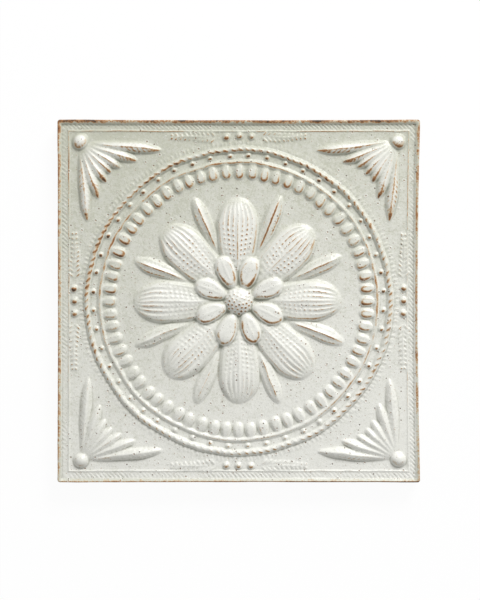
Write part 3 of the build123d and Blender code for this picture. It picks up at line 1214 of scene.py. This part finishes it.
    def pale_glaze(self):
        """The unbroken glaze: paler over full forms, where that is a painted highlight, and towards
        the lower right, faintly mottled, and darker in hollows, partly from glaze lying deeper there
        and partly as painted shade, which is strongest on the lower flanks of forms, turned away from
        the light."""
        w, look = self.w, self.look
        mottle = w.add(w.times(self.small, 0.7), w.times(self.fine, 1.5), w.times(self.grain, 1.5))
        pale = self.mix(self.pale_share(mottle), look.glaze, look.pale_and_highlight)
        pale = self.mix(w.smooth(mottle, 0.12, 0.6, 0.0, 0.5), pale, look.pooled_and_shade)
        # Painted shade in hollows and beneath forms, partly real glaze lying deeper there; most on
        # lower flanks, which face away from the light.
        hollow = w.smooth(self.crest, -0.05, -0.26)
        lower_flank_shade = w.smooth(self.faces_down, -0.3, 0.35, 0.4, 0.95)
        return self.mix(w.times(hollow, lower_flank_shade), pale, look.pooled_and_shade)

    def broken_glaze(self, thin):
        """Tan, rust and burnt glaze, in the order in which it thins. Along the lower edge these tones
        paint a shadow.
        """
        w, look = self.w, self.look
        full = look.break_full
        broken = self.mix(w.smooth(thin, full * 0.75, full * 1.35), look.tan, look.rust)
        return self.mix(w.smooth(thin, full * 1.25, full * 2.4), broken, look.iron)

    def bare_clay(self, sand):
        """Sandy buff clay with darker clouds."""
        w, look = self.w, self.look
        cloud = tuple(0.62 * value for value in look.clay)
        clay = self.mix(w.smooth(self.broad, -0.15, 0.2), look.clay, cloud)
        return self.mix(w.smooth(sand, 0.05, 0.3, 0.0, 0.5), clay, look.tan)

    def scatter_spots(self):
        """Places the iron specks, the finer flecks, and the pits with the lips round them; a lip is
        later raised in the bump and painted pale as a highlight.
        """
        w = self.w
        self.iron, _, self.iron_shade = self.spots(
            cell=7.6 * MM, smallest=0.16 * MM, largest=0.52 * MM, common=0.62, hard=0.5
        )
        self.fleck, _, self.fleck_shade = self.spots(
            cell=2.7 * MM, smallest=0.12 * MM, largest=0.36 * MM, common=0.5, hard=0.4
        )
        self.pit, pit_away, _ = self.spots(
            cell=7.1 * MM, smallest=0.28 * MM, largest=0.55 * MM, common=0.4, hard=0.5
        )
        self.lip = w.times(w.smooth(pit_away, 2.4, 1.3), w.smooth(pit_away, 0.8, 1.3))

    def spotted(self, plain):
        """The plain glaze's colour with flecks, specks and pits in it, and a painted highlight on the
        pits' lips.
        """
        w, look = self.w, self.look
        fleck_colour = self.mix(self.fleck_shade, look.pooled_and_shade, look.rust)
        iron_colour = self.mix(w.times(self.iron_shade, 0.45), look.iron, look.rust)
        # Painted highlight: the pits' lips are mixed towards the pale tone.
        spotted = self.mix(w.times(self.lip, 0.4), plain, look.pale_and_highlight)
        spotted = self.mix(w.times(self.fleck, 0.7), spotted, fleck_colour)
        spotted = self.mix(w.times(self.iron, 0.92), spotted, iron_colour)
        return self.mix(w.times(self.pit, 0.5), spotted, look.rust)

    def surface_height(self, glazed, sand):
        """Fine relief: the glaze's gentle peel with its pits and specks, or sandy clay."""
        w = self.w
        peel = w.add(
            w.noise(self.place, 2.6 * MM, 2.0),
            w.times(self.fine, 0.8),
            w.times(self.grain, 0.3),
            w.times(self.iron, -0.5),
            w.times(self.pit, -1.4),
            w.times(self.lip, 0.7),
        )
        return self.mix(glazed, w.times(sand, 2.2), peel, "FLOAT")

    def make(self):
        """The whole material: glaze down to its wavering line, and bare clay below."""
        w, look = self.w, self.look
        line_waver, line_softness, rusty_reach = 2.2 * MM, 0.15 * MM, 0.9 * MM
        even_glaze, bare_clay = 0.36, 0.88
        self.scatter_spots()
        thin = self.thinness()
        broken = w.smooth(thin, look.break_start, look.break_full)
        glaze_colour = self.spotted(self.mix(broken, self.pale_glaze(), self.broken_glaze(thin)))

        waver = w.times(w.noise(self.place, 6 * MM, 3.0), line_waver)
        above_line = w.less(self.height, w.add(waver, look.glaze_line))
        glazed = w.smooth(above_line, -line_softness, line_softness)
        rusty_end = w.smooth(above_line, rusty_reach, 0.0, 0.0, 0.8)
        glaze_colour = self.mix(rusty_end, glaze_colour, look.rust)
        sand = w.noise(self.place, 0.6 * MM, 4.0, 0.7)
        clay = self.mix(w.times(self.iron, 0.9), self.bare_clay(sand), look.iron)

        rough = w.add(
            w.times(broken, 0.2), w.times(self.fine, 0.12), w.times(self.patchy, 0.1), even_glaze
        )
        height = self.surface_height(glazed, sand)
        bump = w.node(
            "ShaderNodeBump", {"Strength": 1.0, "Distance": look.bump_depth, "Height": height}
        )
        shader = w.node(
            "ShaderNodeBsdfPrincipled",
            {
                "Base Color": self.mix(glazed, clay, glaze_colour),
                "Roughness": self.mix(glazed, bare_clay, rough, "FLOAT"),
                "Normal": bump.outputs[0],
                "IOR": 1.5,
            },
        )
        w.node("ShaderNodeOutputMaterial", {"Surface": shader.outputs[0]})
        return self.material


# Stage


def make_floor(stage):
    """A wide pale floor just under the tile. Seen directly it is partly plain white, so that its
    shadows are soft. It is clear from below and open under the tile, so that the back shows."""
    reach, opening, level = 6.0, 97 * MM, -0.05 * MM
    turns = ((-1, -1), (1, -1), (1, 1), (-1, 1))
    corners = [(x * size, y * size, level) for size in (reach, opening) for x, y in turns]
    strips = [[i, (i + 1) % 4, 4 + (i + 1) % 4, 4 + i] for i in range(4)]
    floor = mesh_object("floor", np.array(corners), strips)
    material = bpy.data.materials.new("floor")
    material.use_nodes = True
    material.node_tree.nodes.clear()
    w = Wiring(material.node_tree)
    ray = w.node("ShaderNodeLightPath").outputs
    seen = w.math("MAXIMUM", ray["Is Camera Ray"], ray["Is Glossy Ray"])
    seen = w.math("MAXIMUM", seen, ray["Is Transmission Ray"])
    matt = w.node("ShaderNodeBsdfDiffuse", {"Color": (*stage.floor, 1.0)})
    white = w.node("ShaderNodeEmission", {"Color": (1.0, 1.0, 1.0, 1.0), "Strength": 1.0})
    mixed = w.node("ShaderNodeMixShader", {0: w.times(seen, stage.floor_white)})
    w.feed(mixed.inputs[1], matt.outputs[0])
    w.feed(mixed.inputs[2], white.outputs[0])
    from_below = w.node("ShaderNodeNewGeometry").outputs["Backfacing"]
    clear = w.node("ShaderNodeBsdfTransparent")
    one_sided = w.node("ShaderNodeMixShader", {0: from_below})
    w.feed(one_sided.inputs[1], mixed.outputs[0])
    w.feed(one_sided.inputs[2], clear.outputs[0])
    w.node("ShaderNodeOutputMaterial", {"Surface": one_sided.outputs[0]})
    floor.data.materials.append(material)


def make_lamp(name, place, size, watts):
    """A square soft lamp that faces the middle of the tile."""
    data = bpy.data.lights.new(name, "AREA")
    data.shape = "SQUARE"
    data.size = size
    data.energy = watts
    lamp = bpy.data.objects.new(name, data)
    lamp.location = place
    lamp.rotation_euler = Vector(place).to_track_quat("Z", "Y").to_euler()
    bpy.context.scene.collection.objects.link(lamp)


def make_world(stage):
    """Even white light from all round."""
    world = bpy.data.worlds.new("studio")
    world.use_nodes = True
    backdrop = world.node_tree.nodes["Background"]
    backdrop.inputs["Color"].default_value = (1.0, 1.0, 1.0, 1.0)
    backdrop.inputs["Strength"].default_value = stage.world_light
    bpy.context.scene.world = world


def make_camera(stage, face_height):
    """A camera straight above the face, framed as the photograph is."""
    metres_per_px = (tile_high.x - tile_low.x) / stage.tile_px
    data = bpy.data.cameras.new("camera")
    data.sensor_width = SENSOR_MM
    data.lens = stage.lens
    data.clip_start = 0.01
    camera = bpy.data.objects.new("camera", data)
    distance = metres_per_px * PHOTO_HEIGHT_PX * stage.lens / SENSOR_MM
    camera.location = (
        (PHOTO_WIDTH_PX / 2 - stage.centre_x_px) * metres_per_px,
        (stage.centre_y_px - PHOTO_HEIGHT_PX / 2) * metres_per_px,
        face_height + distance,
    )
    bpy.context.scene.collection.objects.link(camera)
    bpy.context.scene.camera = camera


# Operators and panel


class TILE_OT_body(bpy.types.Operator):
    """Press and glaze the tile's body"""

    bl_idname = "tile.body"
    bl_label = "Tile body"

    def execute(self, context):
        scene = context.scene
        glaze = GlazeMaker(scene.tile_glaze, scene.tile_blank).make()
        body = make_body(scene.tile_blank, scene.tile_relief, glaze)
        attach(body, "root")
        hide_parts(BODY_NODE)
        return {"FINISHED"}


class TILE_OT_stage(bpy.types.Operator):
    """Set the floor, the lights and the camera"""

    bl_idname = "tile.stage"
    bl_label = "Stage"

    def execute(self, context):
        stage, blank = context.scene.tile_stage, context.scene.tile_blank
        make_floor(stage)
        key_place = (stage.key_right, stage.key_up, stage.key_height)
        make_lamp("key", key_place, stage.key_size, stage.key_power)
        make_world(stage)
        make_camera(stage, blank.ground + blank.rim_height)
        context.scene.view_settings.view_transform = "Standard"
        return {"FINISHED"}


class TILE_PT_panel(bpy.types.Panel):
    """The tile's steps in the sidebar"""

    bl_idname = "TILE_PT_panel"
    bl_label = "Relief tile"
    bl_space_type = "VIEW_3D"
    bl_region_type = "UI"
    bl_category = "Tile"

    def draw(self, context):
        for operator in (TILE_OT_body, TILE_OT_stage):
            self.layout.operator(operator.bl_idname)


CLASSES = (BlankSizes, ReliefSizes, GlazeLook, StageSizes, TILE_OT_body, TILE_OT_stage, TILE_PT_panel)
SETTINGS = {
    "tile_blank": BlankSizes,
    "tile_relief": ReliefSizes,
    "tile_glaze": GlazeLook,
    "tile_stage": StageSizes,
}


def register():
    for item in CLASSES:
        bpy.utils.register_class(item)
    for name, group in SETTINGS.items():
        setattr(bpy.types.Scene, name, PointerProperty(type=group))


def unregister():
    for name in SETTINGS:
        delattr(bpy.types.Scene, name)
    for item in reversed(CLASSES):
        bpy.utils.unregister_class(item)


def main():
    """Registers the add-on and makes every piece."""
    register()
    bpy.ops.tile.body()
    bpy.ops.tile.stage()


if __name__ == "__main__":
    main()
